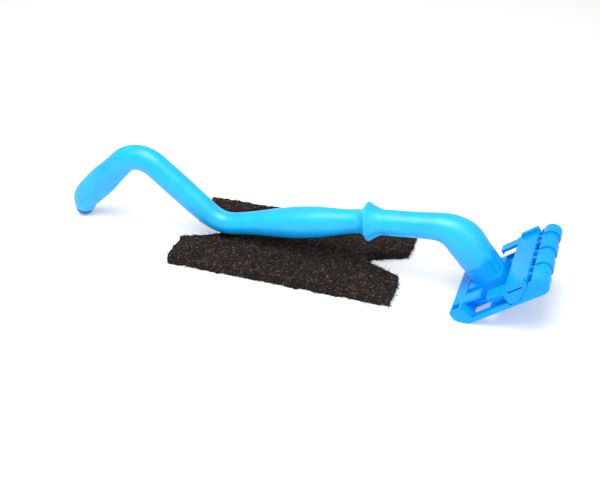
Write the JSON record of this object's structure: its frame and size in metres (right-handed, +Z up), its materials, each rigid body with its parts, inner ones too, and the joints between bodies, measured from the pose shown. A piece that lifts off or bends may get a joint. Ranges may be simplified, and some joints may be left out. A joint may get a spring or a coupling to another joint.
{
  "type": "pad applicator",
  "caption": "Hand tool with a swan-neck hooked handle, a flat tilted head with a hinged clamp frame, and a loose notched scouring pad.",
  "frame": {"origin": "on the floor, in the plane of symmetry of the handle and head, on the underside of the pad below the middle of its length", "axes": "+X along the tool from the hook end to the head; +Y across the tool; +Z up from the floor it lies on"},
  "size_m": [0.5065, 0.131, 0.0952],
  "materials": {
    "blue_plastic": "satin gloss moulded polypropylene",
    "plug_plastic": "satin moulded plastic, a darker blue",
    "stainless": "plain stainless steel",
    "scouring_fibre": "open non-woven scouring fibre, very dark brown"
  },
  "bodies": {
    "tool": {"handle": "blue_plastic", "end_plug": "plug_plastic", "head_base": "blue_plastic", "hinge_pin": "stainless", "neck_screw": "stainless"},
    "clamp": {"clamp_frame": "blue_plastic"},
    "loose_pad": {"pad": "scouring_fibre"}
  },
  "joints": [
    {"name": "clamp_hinge", "type": "hinge", "parent": "tool", "child": "clamp", "pos_m": [0.24694, 0, 0.05687], "axis": [0, 1, 0], "range_deg": [0, 110]},
    {"name": "pad_slides_out", "type": "slide", "parent": "tool", "child": "loose_pad", "axis": [0, 1, 0], "range_m": [0, 0.15]}
  ]
}
